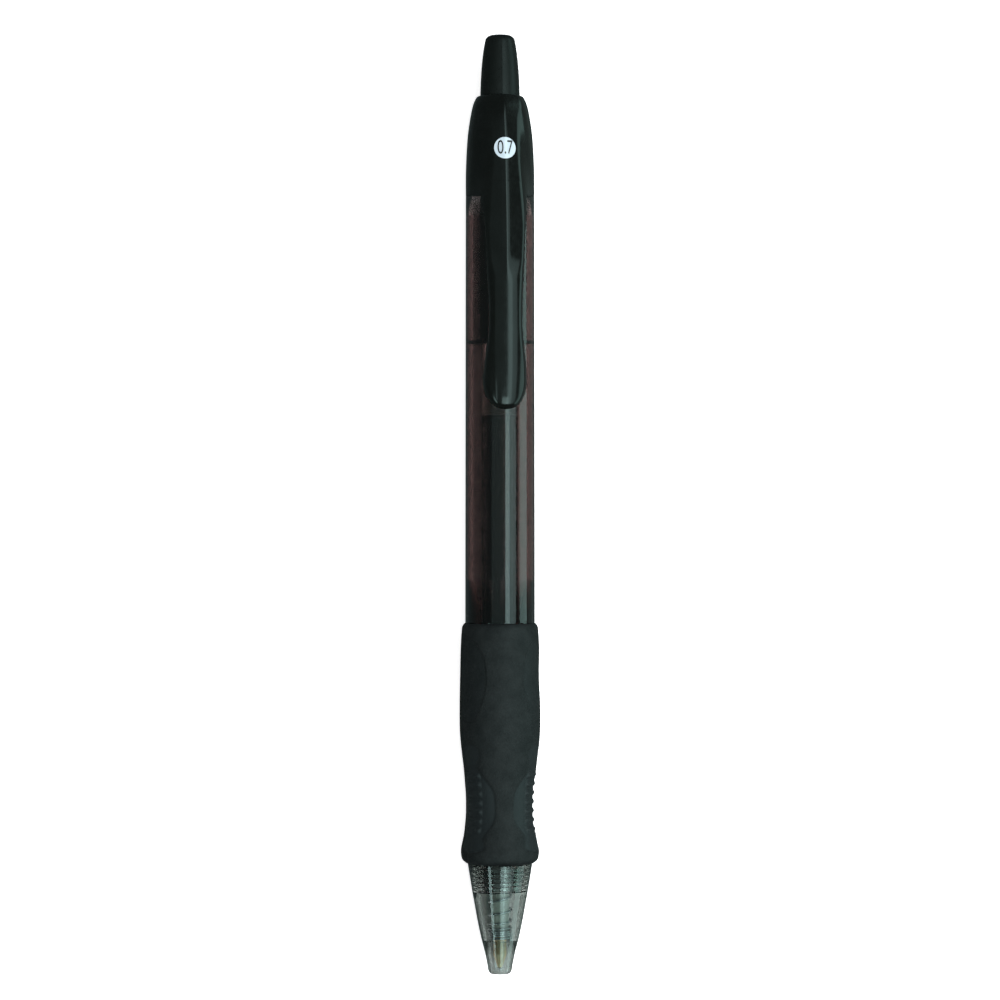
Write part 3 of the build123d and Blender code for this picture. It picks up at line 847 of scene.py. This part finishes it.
def soft_lamp(name, size, radiance, angle, reach, along=0, colour=(1, 1, 1), seen_by="both"):
    """Rectangular lamp that faces the pen from a distance of reach. size is (across, along),
    angle is in degrees from straight above towards +X, and along shifts the lamp along the
    pen. Lengths are in millimetres. seen_by is "gloss" for a lamp that shows in reflections
    and through clear plastic only, or "matt" for one that only lights matt surfaces."""
    lamp = bpy.data.lights.new(name, "AREA")
    lamp.shape = "RECTANGLE"
    lamp.size, lamp.size_y = size[0] * MM, size[1] * MM
    lamp.energy = radiance * math.pi * lamp.size * lamp.size_y
    lamp.color = colour
    holder = bpy.data.objects.new(name, lamp)
    bpy.context.scene.collection.objects.link(holder)
    tilt = math.radians(angle)
    position = Vector((reach * math.sin(tilt), along, axis_height + reach * math.cos(tilt))) * MM
    away = (position - Vector((0, 0, axis_height * MM))).normalized()
    across = Vector((0, 1, 0)).cross(away).normalized()
    turn = Matrix((across, away.cross(across), away)).transposed()
    holder.matrix_world = Matrix.Translation(position) @ turn.to_4x4()
    holder.visible_diffuse = seen_by != "gloss"
    holder.visible_glossy = seen_by != "matt"
    holder.visible_transmission = seen_by != "matt"
    return holder


def make_floor():
    """Pale floor that the camera sees nearly white and that glossy surfaces don't mirror."""
    nodes = Nodes("paper_floor")
    tone = nodes.spread(nodes.noise(0.004, detail=3.0), 0, 1)
    shade = nodes.between(tone, (0.88, 0.88, 0.88), (0.90, 0.90, 0.90))
    shader = nodes.add("ShaderNodeBsdfPrincipled", Base_Color=shade, Roughness=0.7)
    glow = nodes.add("ShaderNodeEmission", Strength=0.75)
    both = nodes.add("ShaderNodeAddShader")
    nodes.tree.links.new(shader.outputs[0], both.inputs[0])
    nodes.tree.links.new(glow.outputs[0], both.inputs[1])
    seen = nodes.add("ShaderNodeLightPath")
    mix = nodes.add("ShaderNodeMixShader", Fac=seen.outputs["Is Camera Ray"])
    nodes.tree.links.new(shader.outputs[0], mix.inputs[1])
    nodes.tree.links.new(both.outputs[0], mix.inputs[2])
    material = nodes.finish(mix.outputs[0])
    side = 3000 * MM
    corners = [(-side, -side, 0), (side, -side, 0), (side, side, 0), (-side, side, 0)]
    floor = add_mesh("floor", corners, [(0, 1, 2, 3)], None, material, crease=None)
    floor.visible_glossy = False


make_floor()

# ---- lamps: those seen by gloss draw the highlights, those seen by matt light the rest ----
cool = (0.70, 1.0, 0.98)
soft_lamp("key", (150, 1100), 1.45, 17, 600, colour=cool, seen_by="gloss")
soft_lamp("key_wing", (400, 1100), 1.25, 28, 600, colour=cool, seen_by="gloss")
soft_lamp("side", (330, 1100), 1.6, 76, 600, colour=(0.62, 1, 0.94), seen_by="gloss")
soft_lamp("bounce", (450, 1100), 0.12, 115, 600, colour=(0.75, 1, 0.9), seen_by="gloss")
soft_lamp("ceiling", (900, 1100), 0.20, 0, 620, colour=cool, seen_by="gloss")
soft_lamp("front", (200, 330), 3.4, 4, 600, along=-340, colour=cool, seen_by="gloss")
soft_lamp("front_left", (130, 330), 4.2, -48, 600, along=-340, colour=cool, seen_by="gloss")
soft_lamp("spark", (40, 150), 2.0, -33, 600, along=-160, colour=cool, seen_by="gloss")
soft_lamp("sky", (1600, 1600), 1.4, 0, 1100, seen_by="matt")
soft_lamp("window", (700, 1100), 3.0, 22, 800, colour=(0.92, 1, 1), seen_by="matt")

world = bpy.data.worlds.new("room")
bpy.context.scene.world = world
world.use_nodes = True
background = world.node_tree.nodes["Background"]
background.inputs["Color"].default_value = (0.75, 1, 1, 1)
background.inputs["Strength"].default_value = 0.12
world.cycles_visibility.diffuse = False    # it only fills the reflections

# ---- camera: straight over the pen, rolled 8 degrees round it ----
distance = 560
roll = math.radians(8)
view_width = 152.4                 # millimetres that the picture shows at the pen's axis
sensor_width = 36
aim = Vector((0, 0.65, axis_height)) * MM
back = Vector((-math.sin(roll), 0, math.cos(roll)))
camera_data = bpy.data.cameras.new("camera")
camera_data.sensor_width = sensor_width
camera_data.lens = sensor_width * distance / view_width
camera_data.clip_start = 0.01
camera_data.clip_end = 20
camera = bpy.data.objects.new("camera", camera_data)
bpy.context.scene.collection.objects.link(camera)
right = Vector((math.cos(roll), 0, math.sin(roll)))
up = Vector((0, 1, 0))
turn = Matrix((right, up, back)).transposed()
camera.matrix_world = Matrix.Translation(aim + back * distance * MM) @ turn.to_4x4()
bpy.context.scene.camera = camera

scene = bpy.context.scene
scene.view_settings.view_transform = "Standard"
scene.view_settings.look = "None"
